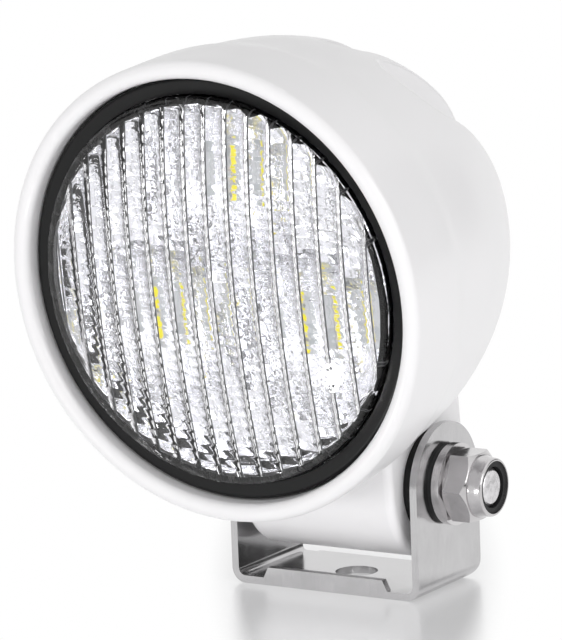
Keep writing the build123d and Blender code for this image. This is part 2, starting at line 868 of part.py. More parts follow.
# Breather plug
with BuildPart() as vent_plug:
    with BuildSketch(at(rear_crest, y=vent_y)):
        Circle(vent_thread_d / 2)
    extrude(amount=vent_thread_length)
    with BuildSketch(at(rear_crest, y=vent_y)):
        Circle(vent_head_d / 2)
    extrude(amount=-vent_head_height)
    fillet(vent_plug.edges().sort_by(optic_axis)[0], vent_edge_radius)
    with BuildSketch(at(rear_crest - vent_head_height, y=vent_y)):
        Rectangle(vent_head_d, vent_slot_width)
        Rectangle(vent_slot_width, vent_head_d)
    extrude(amount=vent_slot_depth, mode=Mode.SUBTRACT)
save(vent_plug, "vent_plug")
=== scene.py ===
"""Looks of a round LED floodlight for boats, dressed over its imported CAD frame.

The white housing, the black rim, the fluted lens, the mirror cups and the stainless bracket keep the
shapes and places of the CAD. This script gives each of them its finish, replaces the lens with a finer
mesh that shows its small optics, and lines the lens seat with a bright skirt.
"""

import logging
import math
from dataclasses import dataclass
from enum import Enum

import bpy
import numpy as np
from mathutils import Matrix, Vector


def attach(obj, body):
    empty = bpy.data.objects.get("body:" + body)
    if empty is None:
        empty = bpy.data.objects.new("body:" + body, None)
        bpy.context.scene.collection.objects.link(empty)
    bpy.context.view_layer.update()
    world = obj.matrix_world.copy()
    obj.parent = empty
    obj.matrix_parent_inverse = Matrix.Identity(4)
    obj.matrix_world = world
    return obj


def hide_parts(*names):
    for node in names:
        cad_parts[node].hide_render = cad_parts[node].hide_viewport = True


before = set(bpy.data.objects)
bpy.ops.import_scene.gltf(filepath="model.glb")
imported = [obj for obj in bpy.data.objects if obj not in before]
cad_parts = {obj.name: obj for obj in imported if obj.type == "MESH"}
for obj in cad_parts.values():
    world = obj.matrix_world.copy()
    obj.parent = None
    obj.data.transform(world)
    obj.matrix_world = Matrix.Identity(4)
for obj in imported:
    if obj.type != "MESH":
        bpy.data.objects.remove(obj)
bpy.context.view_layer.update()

LOG = logging.getLogger("floodlight")
MM = 0.001
SHARP_DEG = 38.0
NOISE_LOW, NOISE_HIGH = 0.3, 0.7
WHITE = (1.0, 1.0, 1.0, 1.0)


def linear(code: str) -> tuple[float, float, float, float]:
    """Turn an sRGB hex colour into linear RGBA.

    Args:
        code: six hex digits, such as "c8c4be".

    Returns:
        The linear red, green, blue and an alpha of one.
    """
    shares = [int(code[i:i + 2], 16) / 255 for i in (0, 2, 4)]
    curve = [s / 12.92 if s <= 0.04045 else ((s + 0.055) / 1.055) ** 2.4 for s in shares]
    return (curve[0], curve[1], curve[2], 1.0)


def per_mm(size_mm: float) -> float:
    """Give the texture scale whose pattern repeats about once in the given millimetres."""
    return 1.0 / (size_mm * MM)


class Sheet:
    """The node tree of one material, with its output node."""

    def __init__(self, name: str) -> None:
        """Make an empty node material of the given name."""
        self.take(bpy.data.materials.new(name), "ShaderNodeOutputMaterial")

    def take(self, owner: bpy.types.ID, output: str) -> None:
        """Empty the node tree and give it an output.

        Args:
            owner: the material or world that the tree belongs to.
            output: the output's node type name.
        """
        owner.use_nodes = True
        self.owner = owner
        self.tree = owner.node_tree
        self.tree.nodes.clear()
        self.output = self.add(output)

    def add(self, kind: str, links: dict | None = None, **settings: object) -> bpy.types.Node:
        """Add a node with its settings, socket values and links.

        Args:
            kind: the node's type name.
            links: input name or number to a socket of another node, or to a plain value.
            settings: attributes of the node itself.

        Returns:
            The new node.
        """
        node = self.tree.nodes.new(kind)
        for name, value in settings.items():
            setattr(node, name, value)
        for name, value in (links or {}).items():
            if isinstance(value, tuple) and isinstance(value[0], bpy.types.Node):
                self.tree.links.new(value[0].outputs[value[1]], node.inputs[name])
            else:
                node.inputs[name].default_value = value
        return node

    def finish(self, shader: bpy.types.Node) -> bpy.types.ID:
        """Lead a shader to the output and give the owner of the tree."""
        self.tree.links.new(shader.outputs[0], self.output.inputs["Surface"])
        return self.owner


class WorldSheet(Sheet):
    """The node tree of the world."""

    def __init__(self, name: str) -> None:
        """Make an empty world of the given name, and use it."""
        bpy.context.scene.world = bpy.data.worlds.new(name)
        self.take(bpy.context.scene.world, "ShaderNodeOutputWorld")


@dataclass(frozen=True)
class PowderCoat:
    """Polyester powder coat on die-cast aluminium: white, satin, with a fine orange peel.

    Its patches run from so much smoother to so much rougher than its roughness.
    """

    colour: str = "f0eff0"
    roughness: float = 0.34
    smoother: float = 0.05
    rougher: float = 0.06
    peel_mm: float = 1.1
    peel_height_mm: float = 0.020
    relief: float = 0.55
    patch_mm: float = 9.0
    coat: float = 0.25
    coat_roughness: float = 0.12

    def build(self) -> bpy.types.Material:
        """Make the material: a fine noise gives the soft pits of the peel, a broad one varies the gloss.

        Returns:
            The material.
        """
        s = Sheet("white_powder_coat")
        place = s.add("ShaderNodeTexCoord")
        peel = s.add("ShaderNodeTexNoise", {
            "Vector": (place, "Object"), "Scale": per_mm(self.peel_mm), "Detail": 2.0, "Roughness": 0.45})
        broad = s.add("ShaderNodeTexNoise", {
            "Vector": (place, "Object"), "Scale": per_mm(self.patch_mm), "Detail": 3.0})
        gloss = s.add("ShaderNodeMapRange", {
            "Value": (broad, 0), "From Min": NOISE_LOW, "From Max": NOISE_HIGH,
            "To Min": self.roughness - self.smoother, "To Max": self.roughness + self.rougher})
        bump = s.add("ShaderNodeBump", {
            "Height": (peel, 0), "Strength": self.relief, "Distance": self.peel_height_mm * MM})
        paint = s.add("ShaderNodeBsdfPrincipled", {
            "Base Color": linear(self.colour), "Roughness": (gloss, 0), "IOR": 1.5, "Normal": (bump, 0),
            "Coat Weight": self.coat, "Coat Roughness": self.coat_roughness})
        return s.finish(paint)


class Grain(Enum):
    """Direction in which a metal was brushed: how many times finer its noise is along X, Y and Z."""

    ALONG_X = (1.0, 40.0, 40.0)
    ALONG_Z = (40.0, 40.0, 1.0)
    NONE = (1.0, 1.0, 1.0)


@dataclass(frozen=True)
class BareMetal:
    """Bare metal, mostly rolled or brushed stainless steel: fine lines along its grain, faint blotches.

    Its gloss runs from so much smoother to so much rougher than its roughness. Real brushing is finer
    than its lines, which are drawn a tenth of a millimetre apart across the grain so that they show.
    """

    name: str
    colour: str
    roughness: float
    grain: Grain = Grain.NONE
    smoother: float = 0.08
    rougher: float = 0.1
    line_mm: float = 4.0
    line_height_mm: float = 0.006
    relief: float = 0.5
    blotch_mm: float = 7.0
    darkest: float = 0.86
    lightest: float = 1.04
    gloss_span: tuple[float, float] = (0.75, 1.25)
    tone_span: tuple[float, float] = (0.7, 1.3)

    def build(self) -> bpy.types.Material:
        """Make the material: noise stretched along the grain gives the lines, broad noise the blotches.

        The sum of the two noises varies gloss and colour, each over its own span of that sum.

        Returns:
            The material.
        """
        s = Sheet(self.name)
        place = s.add("ShaderNodeTexCoord")
        stretch = s.add("ShaderNodeMapping", {"Vector": (place, "Object"), "Scale": self.grain.value})
        lines = s.add("ShaderNodeTexNoise", {
            "Vector": (stretch, 0), "Scale": per_mm(self.line_mm), "Detail": 5.0, "Roughness": 0.65})
        blotch = s.add("ShaderNodeTexNoise", {
            "Vector": (place, "Object"), "Scale": per_mm(self.blotch_mm), "Detail": 4.0})
        mixed = s.add("ShaderNodeMath", {0: (lines, 0), 1: (blotch, 0)}, operation="ADD")
        rough = s.add("ShaderNodeMapRange", {
            "Value": (mixed, 0), "From Min": self.gloss_span[0], "From Max": self.gloss_span[1],
            "To Min": self.roughness - self.smoother, "To Max": self.roughness + self.rougher})
        tone = s.add("ShaderNodeMapRange", {
            "Value": (mixed, 0), "From Min": self.tone_span[0], "From Max": self.tone_span[1],
            "To Min": self.darkest, "To Max": self.lightest})
        colour = s.add("ShaderNodeMix", {"Factor": 1.0, 6: linear(self.colour), 7: (tone, 0)},
                       data_type="RGBA", blend_type="MULTIPLY")
        bump = s.add("ShaderNodeBump", {
            "Height": (lines, 0), "Strength": self.relief, "Distance": self.line_height_mm * MM})
        metal = s.add("ShaderNodeBsdfPrincipled", {
            "Base Color": (colour, 2), "Metallic": 1.0, "Roughness": (rough, 0), "Normal": (bump, 0)})
        return s.finish(metal)


@dataclass(frozen=True)
class Moulding:
    """A moulded plastic or rubber part: one colour, a fine spark-eroded grain and a soft gloss.

    Its patches run from so much smoother to so much rougher than its roughness. The real grain is about
    a tenth of a millimetre, and it's drawn coarser so that it shows.
    """

    name: str
    colour: str
    roughness: float = 0.45
    grain_mm: float = 0.5
    grain_height_mm: float = 0.006
    relief: float = 0.6
    specular: float = 0.5
    smoother: float = 0.04
    rougher: float = 0.06
    patch_mm: float = 6.0

    def build(self) -> bpy.types.Material:
        """Make the material: a fine noise gives the grain, and a broad one a slight change of gloss.

        Returns:
            The material.
        """
        s = Sheet(self.name)
        place = s.add("ShaderNodeTexCoord")
        grain = s.add("ShaderNodeTexNoise", {
            "Vector": (place, "Object"), "Scale": per_mm(self.grain_mm), "Detail": 3.0})
        broad = s.add("ShaderNodeTexNoise", {
            "Vector": (place, "Object"), "Scale": per_mm(self.patch_mm), "Detail": 2.0})
        rough = s.add("ShaderNodeMapRange", {
            "Value": (broad, 0), "From Min": NOISE_LOW, "From Max": NOISE_HIGH,
            "To Min": self.roughness - self.smoother, "To Max": self.roughness + self.rougher})
        bump = s.add("ShaderNodeBump", {
            "Height": (grain, 0), "Strength": self.relief, "Distance": self.grain_height_mm * MM})
        body = s.add("ShaderNodeBsdfPrincipled", {
            "Base Color": linear(self.colour), "Roughness": (rough, 0), "IOR": 1.5,
            "Specular IOR Level": self.specular, "Normal": (bump, 0)})
        return s.finish(body)


@dataclass(frozen=True)
class ClearLens:
    """Clear moulded polycarbonate: a high gloss and a fine stipple, and valleys that turn the light away.

    The sharp valley between two flutes sends no light to the eye, so its thin dark line is painted shade.
    """

    colour: str = "fdfdff"
    valley_painted_shade: str = "4a4b4e"
    ior: float = 1.5
    roughness: float = 0.02
    stipple_mm: float = 0.8
    stipple_height_mm: float = 0.035
    relief: float = 0.6
    valley_start: float = 0.62
    valley_end: float = 0.84

    def build(self) -> bpy.types.Material:
        """Make the material: cells give the stipple, and the piece's own valley attribute the dark lines.

        Returns:
            The material.
        """
        s = Sheet("clear_polycarbonate")
        place = s.add("ShaderNodeTexCoord")
        cells = s.add("ShaderNodeTexVoronoi", {"Vector": (place, "Object"), "Scale": per_mm(self.stipple_mm)},
                      feature="SMOOTH_F1")
        bump = s.add("ShaderNodeBump", {
            "Height": (cells, 0), "Strength": self.relief, "Distance": self.stipple_height_mm * MM})
        # painted shade: along each valley line the colour turns dark grey and the transmission falls away
        valley = s.add("ShaderNodeAttribute", attribute_name="valley")
        clear = s.add("ShaderNodeMapRange", {
            "Value": (valley, "Fac"), "From Min": self.valley_start, "From Max": self.valley_end,
            "To Min": 1.0, "To Max": 0.0}, interpolation_type="SMOOTHSTEP")
        colour = s.add("ShaderNodeMix", {"Factor": (clear, 0), 6: linear(self.valley_painted_shade),
                                         7: linear(self.colour)}, data_type="RGBA")
        body = s.add("ShaderNodeBsdfPrincipled", {
            "Base Color": (colour, 2), "Roughness": self.roughness, "IOR": self.ior,
            "Transmission Weight": (clear, 0), "Normal": (bump, 0)})
        return s.finish(body)


@dataclass(frozen=True)
class MirrorCoat:
    """Vacuum-coated aluminium on moulded plastic: a bright mirror made of small facets."""

    colour: str = "f6f6f8"
    facet_mm: float = 0.6
    tilt: float = 0.38
    roughness: float = 0.12

    def build(self) -> bpy.types.Material:
        """Make the material: each cell turns the normal its own way, so the facets sparkle.

        Returns:
            The material.
        """
        s = Sheet("mirror_coat")
        place = s.add("ShaderNodeTexCoord")
        facets = s.add("ShaderNodeTexVoronoi", {"Vector": (place, "Object"), "Scale": per_mm(self.facet_mm)})
        lean = s.add("ShaderNodeVectorMath", {0: (facets, "Color"), 1: (0.5, 0.5, 0.5)}, operation="SUBTRACT")
        lean = s.add("ShaderNodeVectorMath", {0: (lean, 0), "Scale": self.tilt}, operation="SCALE")
        shape = s.add("ShaderNodeNewGeometry")
        turned = s.add("ShaderNodeVectorMath", {0: (shape, "Normal"), 1: (lean, 0)}, operation="ADD")
        normal = s.add("ShaderNodeVectorMath", {0: (turned, 0)}, operation="NORMALIZE")
        metal = s.add("ShaderNodeBsdfPrincipled", {
            "Base Color": linear(self.colour), "Metallic": 1.0, "Roughness": self.roughness,
            "Normal": (normal, 0)})
        return s.finish(metal)


@dataclass(frozen=True)
class PhosphorGel:
    """Silicone filled with yellow phosphor over the LED chips: saturated, a little translucent."""

    colour: str = "f6e500"
    cloud_colour: str = "e2da00"
    cloud_mm: float = 0.7
    # painted light: the gel gets a faint emission so it stays bright in the shade of its cup
    painted_glow_colour: str = "f4e42a"
    glow: float = 0.45

    def build(self) -> bpy.types.Material:
        """Make the material: a fine cloud varies the yellow, and a faint glow keeps it bright in its cup.

        Returns:
            The material.
        """
        s = Sheet("phosphor_gel")
        place = s.add("ShaderNodeTexCoord")
        cloud = s.add("ShaderNodeTexNoise", {"Vector": (place, "Object"), "Scale": per_mm(self.cloud_mm)})
        colour = s.add("ShaderNodeMix", {"Factor": (cloud, 0), 6: linear(self.colour),
                                         7: linear(self.cloud_colour)}, data_type="RGBA")
        # painted light: the emission sockets make the unlit gel glow
        gel = s.add("ShaderNodeBsdfPrincipled", {
            "Base Color": (colour, 2), "Roughness": 0.3, "Subsurface Weight": 0.1,
            "Emission Color": linear(self.painted_glow_colour), "Emission Strength": self.glow})
        return s.finish(gel)


@dataclass(frozen=True)
class SolderMask:
    """Solder mask on a circuit board: a thin glossy lacquer over faint copper tracks."""

    name: str
    colour: str
    track_colour: str
    track_mm: float = 4.0

    def build(self) -> bpy.types.Material:
        """Make the material: a brick pattern stands for the tracks, rows of them a millimetre apart.

        Returns:
            The material.
        """
        s = Sheet(self.name)
        place = s.add("ShaderNodeTexCoord")
        tracks = s.add("ShaderNodeTexBrick", {
            "Vector": (place, "Object"), "Color1": linear(self.colour), "Color2": linear(self.colour),
            "Mortar": linear(self.track_colour), "Scale": per_mm(self.track_mm), "Mortar Size": 0.04})
        lacquer = s.add("ShaderNodeBsdfPrincipled", {
            "Base Color": (tracks, "Color"), "Roughness": 0.3, "Coat Weight": 0.4})
        return s.finish(lacquer)


@dataclass(frozen=True)
class StudioFloor:
    """White acrylic table: a soft mirror image under the bracket, a close shadow, and plain white around.

    The shaded patch is an oval, long from front to back, turned by the given angle and set a little back.
    """

    turn_deg: float = 31.56
    set_back_mm: float = 22.0
    stretch: float = 4.5
    fade_start_mm: float = 23.0
    fade_end_mm: float = 31.0
    haze: float = 0.28
    glow: float = 0.2
    colour: str = "f7f7f9"
    gloss: float = 0.6
    roughness: float = 0.26

    def build(self) -> bpy.types.Material:
        """Make the material: away from the lamp it fades to plain white, which also glows a little.

        Returns:
            The material.
        """
        s = Sheet("studio_floor")
        place = s.add("ShaderNodeTexCoord")
        turn, back = math.radians(self.turn_deg), self.set_back_mm * MM
        oval = s.add("ShaderNodeMapping", {
            "Vector": (place, "Object"), "Rotation": (0.0, 0.0, turn),
            "Location": (-back * math.sin(turn), back * math.cos(turn), 0.0),
            "Scale": (1.0, self.stretch, 1.0)}, vector_type="TEXTURE")
        distance = s.add("ShaderNodeVectorMath", {0: (oval, 0)}, operation="LENGTH")
        fade = s.add("ShaderNodeMapRange", {
            "Value": (distance, "Value"), "From Min": self.fade_start_mm * MM,
            "From Max": self.fade_end_mm * MM, "To Min": self.haze}, interpolation_type="SMOOTHSTEP")
        ray = s.add("ShaderNodeLightPath")
        seen = s.add("ShaderNodeMath", {0: (ray, "Is Camera Ray"), 1: (ray, "Is Glossy Ray")},
                     operation="ADD")
        seen = s.add("ShaderNodeMath", {0: (seen, 0), 1: (ray, "Is Transmission Ray")}, operation="ADD",
                     use_clamp=True)
        glow = s.add("ShaderNodeMath", {0: (ray, "Is Diffuse Ray"), 1: self.glow}, operation="MULTIPLY")
        seen = s.add("ShaderNodeMath", {0: (seen, 0), 1: (glow, 0)}, operation="MAXIMUM")
        share = s.add("ShaderNodeMath", {0: (fade, 0), 1: (seen, 0)}, operation="MULTIPLY")
        matt = s.add("ShaderNodeBsdfDiffuse", {"Color": linear(self.colour)})
        gloss = s.add("ShaderNodeBsdfGlossy", {"Color": WHITE, "Roughness": self.roughness})
        table = s.add("ShaderNodeMixShader", {0: self.gloss, 1: (matt, 0), 2: (gloss, 0)})
        white = s.add("ShaderNodeEmission", {"Color": WHITE, "Strength": 1.0})
        both = s.add("ShaderNodeMixShader", {0: (share, 0), 1: (table, 0), 2: (white, 0)})
        return s.finish(both)


def grid_faces(rows: int, columns: int, closed: bool = False) -> np.ndarray:
    """Give the four-sided faces of a grid of points, one face between each four neighbours.

    Args:
        rows: the number of rows.
        columns: the number of columns.
        closed: whether the last row joins the first, and the last column the first.

    Returns:
        An array of four point numbers for each face.
    """
    index = np.arange(rows * columns).reshape(rows, columns)
    if closed:
        index = np.concatenate([index, index[:1]], 0)
        index = np.concatenate([index, index[:, :1]], 1)
    return np.stack([index[:-1, :-1], index[1:, :-1], index[1:, 1:], index[:-1, 1:]], -1).reshape(-1, 4)


def mesh_object(name: str, points: np.ndarray, faces: np.ndarray) -> bpy.types.Object:
    """Make a mesh object and link it to the scene.

    Args:
        name: the object's name.
        points: an array of points in metres.
        faces: an array of four point numbers for each face, against the clock from outside.

    Returns:
        The object, smooth except at its sharp edges.
    """
    mesh = bpy.data.meshes.new(name)
    mesh.vertices.add(len(points))
    mesh.vertices.foreach_set("co", points.astype(np.float32).ravel())
    mesh.loops.add(faces.size)
    mesh.loops.foreach_set("vertex_index", faces.astype(np.int32).ravel())
    mesh.polygons.add(len(faces))
    mesh.polygons.foreach_set("loop_start", np.arange(0, faces.size, 4, dtype=np.int32))
    mesh.update(calc_edges=True)
    mesh.validate()
    mesh.polygons.foreach_set("use_smooth", np.ones(len(mesh.polygons), dtype=bool))
    mesh.set_sharp_from_angle(angle=math.radians(SHARP_DEG))
    piece = bpy.data.objects.new(name, mesh)
    bpy.context.scene.collection.objects.link(piece)
    return piece


@dataclass
class Head:
    """Frame of the lamp head: x to the right, y up from the optical axis, z along the beam."""

    axis_height_mm: float = 21.1
    rest_tilt_deg: float = 6.5
    optic_height_mm: float = 48.8

    def place(self, points: np.ndarray) -> np.ndarray:
        """Bring points from the head's own millimetres into the row frame, in metres.

        Args:
            points: array whose last axis is x, y from the optical axis and z from the bolt axis.

        Returns:
            The same points in metres: tilted about the bolt axis and lifted to its height.
        """
        tilt = math.radians(self.rest_tilt_deg)
        x, up, ahead = points[..., 0], points[..., 1] + self.optic_height_mm, points[..., 2]
        y = -ahead * math.cos(tilt) - up * math.sin(tilt)
        z = up * math.cos(tilt) - ahead * math.sin(tilt) + self.axis_height_mm
        return np.stack([x, y, z], -1) * MM


@dataclass
class FlutedLens:
    """Clear lens: a smooth dome outside, upright flutes with small pillows inside, and a flange below.

    Heights are measured along the beam from the bolt axis, as in the CAD.
    """

    radius_mm: float = 37.2
    hollow_radius_mm: float = 35.6
    flange_radius_mm: float = 39.8
    base_mm: float = 34.7
    flange_top_mm: float = 36.7
    crest_mm: float = 46.2
    dome_radius_mm: float = 185.0
    wall_mm: float = 1.6
    shoulder_mm: float = 1.2
    shoulder_steps: int = 6
    flute_pitch_mm: float = 4.5
    flute_depth_mm: float = 0.8
    flutes: int = 15
    steps_per_flute: int = 8
    edge_steps: int = 4
    edge_share: float = 0.9995
    rows: int = 240
    pillow_pitch_mm: float = 2.0
    pillow_depth_mm: float = 0.17
    pillow_slant: float = 0.12
    pillow_shift: float = 0.37

    def build(self, head: Head) -> bpy.types.Object:
        """Make the lens as one closed solid: an outer skin, an inner skin and the rings that join them.

        Both skins are the same grid over a disc: u across in steps that fall on the flutes, v up the disc,
        at x = u R and y = v sqrt(R^2 - x^2). So their rims have the same angles, and rings can join them.

        Args:
            head: the frame that the lens belongs to.

        Returns:
            The lens object, placed in the row frame.
        """
        u, v = self.disc_grid()
        half = np.sqrt(1 - u ** 2)
        skin_radius = self.dome_radius_mm * math.sin(self.shoulder_angle())
        outer_xy = np.stack([u * skin_radius, v * half * skin_radius], -1)
        inner_xy = np.stack([u * self.hollow_radius_mm, v * half * self.hollow_radius_mm], -1)
        outer_z = self.centre() + np.sqrt(self.dome_radius_mm ** 2 - (outer_xy ** 2).sum(-1))
        outer = np.concatenate([outer_xy, outer_z[..., None]], -1)
        inner = np.concatenate([inner_xy, self.inner_height(inner_xy)[..., None]], -1)
        loop = self.rim_loop(u.shape)
        angle = np.arctan2((v * half).ravel()[loop], u.ravel()[loop])
        rings = [np.stack([radius * np.cos(angle), radius * np.sin(angle), np.full_like(angle, z)], -1)
                 for radius, z in self.side_profile()]
        count = u.size
        skin = grid_faces(*u.shape)
        first = [2 * count + k * len(loop) for k in range(len(rings))]
        edges = [count + loop, *[start + np.arange(len(loop)) for start in first], loop]
        bands = [np.stack([a, np.roll(a, -1), np.roll(b, -1), b], -1) for a, b in zip(edges[:-1], edges[1:])]
        points = np.concatenate([outer.reshape(-1, 3), inner.reshape(-1, 3), *rings])
        faces = np.concatenate([skin, skin[:, ::-1] + count, *bands])
        piece = mesh_object("fluted_lens", head.place(points), faces)
        # the valley attribute places the lens material's painted shade lines on the inner skin
        valley = np.zeros(len(points), dtype=np.float32)
        valley[count:2 * count] = self.valley(inner_xy[..., 0]).ravel()
        piece.data.attributes.new("valley", "FLOAT", "POINT").data.foreach_set("value", valley)
        return piece

    def centre(self) -> float:
        """Give the height of the dome's centre."""
        return self.crest_mm - self.dome_radius_mm

    def shoulder_angle(self) -> float:
        """Give the angle from the beam at which the dome runs into its rounded shoulder."""
        return math.asin((self.radius_mm - self.shoulder_mm) / (self.dome_radius_mm - self.shoulder_mm))

    def side_profile(self) -> list[tuple[float, float]]:
        """Work out the side of the lens: its underside, its flange, its wall and its rounded shoulder.

        The shoulder is an arc about a point inside the dome, from the wall up to where it meets the dome.

        Returns:
            Radius and height of each ring between the skins.
        """
        angle = self.shoulder_angle()
        middle = self.centre() + (self.dome_radius_mm - self.shoulder_mm) * math.cos(angle)
        turns = np.linspace(0, math.pi / 2 - angle, self.shoulder_steps + 1)[:-1]
        shoulder = [(self.radius_mm - self.shoulder_mm * (1 - math.cos(turn)),
                     middle + self.shoulder_mm * math.sin(turn)) for turn in turns]
        return [(self.hollow_radius_mm, self.base_mm), (self.flange_radius_mm, self.base_mm),
                (self.flange_radius_mm, self.flange_top_mm), (self.radius_mm, self.flange_top_mm), *shoulder]

    def disc_grid(self) -> tuple[np.ndarray, np.ndarray]:
        """Lay the grid of both skins: even steps across the flutes, a few steps at each edge, even rows.

        Returns:
            The grid's u and v, each an array of columns by rows, between -1 and 1.
        """
        half_span = self.flutes * self.flute_pitch_mm / 2
        across = np.linspace(-half_span, half_span, self.flutes * self.steps_per_flute + 1)
        edge = np.linspace(half_span, self.hollow_radius_mm * self.edge_share, self.edge_steps + 1)[1:]
        u = np.concatenate([-edge[::-1], across, edge]) / self.hollow_radius_mm
        return np.meshgrid(u, np.linspace(-1, 1, self.rows), indexing="ij")

    def inner_height(self, xy: np.ndarray) -> np.ndarray:
        """Give the height of the inner skin over points of the disc.

        Across, each flute is an arc of the given depth below a circle about the dome's centre, and the
        profile is swept up and down about that centre. The pillows are shallow parabolas end to end
        along each flute, slanted, and shifted from one flute to the next. They fade out at its edges.

        Args:
            xy: array whose last axis is x and y from the optical axis.

        Returns:
            The height of each point.
        """
        x, y = xy[..., 0], xy[..., 1]
        half_pitch, depth = self.flute_pitch_mm / 2, self.flute_depth_mm
        bend = (half_pitch ** 2 + depth ** 2) / (2 * depth)
        half_span = self.flutes * half_pitch
        crown = self.dome_radius_mm - self.wall_mm
        number = np.clip(np.floor((x + half_span) / self.flute_pitch_mm), 0, self.flutes - 1)
        from_middle = x + half_span - (number + 0.5) * self.flute_pitch_mm
        sag = np.sqrt(np.maximum(bend ** 2 - from_middle ** 2, 0)) - (bend - depth)
        sag = np.where(np.abs(x) < half_span, np.maximum(sag, 0), 0)
        slant = self.pillow_slant * from_middle / half_pitch
        along = y / self.pillow_pitch_mm + number * self.pillow_shift + slant
        from_crown = 2 * (along - np.round(along))
        swell = self.pillow_depth_mm * (1 - from_crown ** 2) * sag / depth
        profile = np.sqrt(crown ** 2 - np.minimum(np.abs(x), half_span) ** 2) - sag - swell
        return self.centre() + np.sqrt(profile ** 2 - y ** 2)

    def valley(self, x: np.ndarray) -> np.ndarray:
        """Mark the valleys: one where x is on a valley between two flutes, none from a grid step away.

        Args:
            x: distance of each point across from the optical axis.

        Returns:
            The mark of each point, falling evenly from one to none.
        """
        turns = (x + self.flutes * self.flute_pitch_mm / 2) / self.flute_pitch_mm
        away = np.abs(turns - np.round(turns)) * self.steps_per_flute
        return np.maximum(1 - away, 0)

    @staticmethod
    def rim_loop(shape: tuple[int, int]) -> np.ndarray:
        """Give the indices of the grid's border, once round against the clock."""
        index = np.arange(shape[0] * shape[1]).reshape(shape)
        return np.concatenate([index[:, 0], index[-1, 1:], index[-2::-1, -1], index[0, -2:0:-1]])


@dataclass
class LensSeat:
    """What carries the lens: the rubber ring under its flange, and the bright skirt that lines its wall.

    Heights are measured along the beam from the bolt axis, as in the CAD. The two stand in the space of
    the CAD gasket with its collar.
    """

    inner_radius_mm: float = 34.5
    skirt_inner_mm: float = 34.95
    skirt_outer_mm: float = 35.4
    outer_radius_mm: float = 40.2
    base_mm: float = 33.5
    flange_mm: float = 34.7
    skirt_top_mm: float = 39.5
    steps: int = 180
    edge_steps: int = 6

    def build_ring(self, head: Head) -> bpy.types.Object:
        """Make the flat rubber ring between the seat and the lens flange."""
        return self.turned("rubber_gasket", head, [
            (self.inner_radius_mm, self.base_mm), (self.outer_radius_mm, self.base_mm),
            (self.outer_radius_mm, self.flange_mm), (self.inner_radius_mm, self.flange_mm)])

    def build_skirt(self, head: Head) -> bpy.types.Object:
        """Make the thin upright skirt: two upright sides joined by a half circle at the top.

        Args:
            head: the frame that the skirt belongs to.

        Returns:
            The skirt, placed in the row frame.
        """
        half = (self.skirt_outer_mm - self.skirt_inner_mm) / 2
        bend = np.linspace(0, math.pi, self.edge_steps + 1)
        edge = np.stack([self.skirt_inner_mm + half * (1 + np.cos(bend)),
                         self.skirt_top_mm + half * np.sin(bend)], -1)
        return self.turned("reflector_skirt", head, [
            (self.skirt_inner_mm, self.flange_mm), (self.skirt_outer_mm, self.flange_mm), *edge])

    def turned(self, name: str, head: Head, section: list) -> bpy.types.Object:
        """Turn a closed section once round the optical axis: at x = r cos(turn) and y = r sin(turn).

        Args:
            name: the piece's name.
            head: the frame that the piece belongs to.
            section: radius and height of each corner, against the clock.

        Returns:
            The ring, placed in the row frame.
        """
        turn = np.linspace(0, 2 * math.pi, self.steps, endpoint=False)[:, None]
        radius, height = np.array(section).T
        ring = np.stack([radius * np.cos(turn), radius * np.sin(turn), height + 0 * turn], -1)
        faces = grid_faces(*ring.shape[:2], closed=True)
        return mesh_object(name, head.place(ring).reshape(-1, 3), faces)


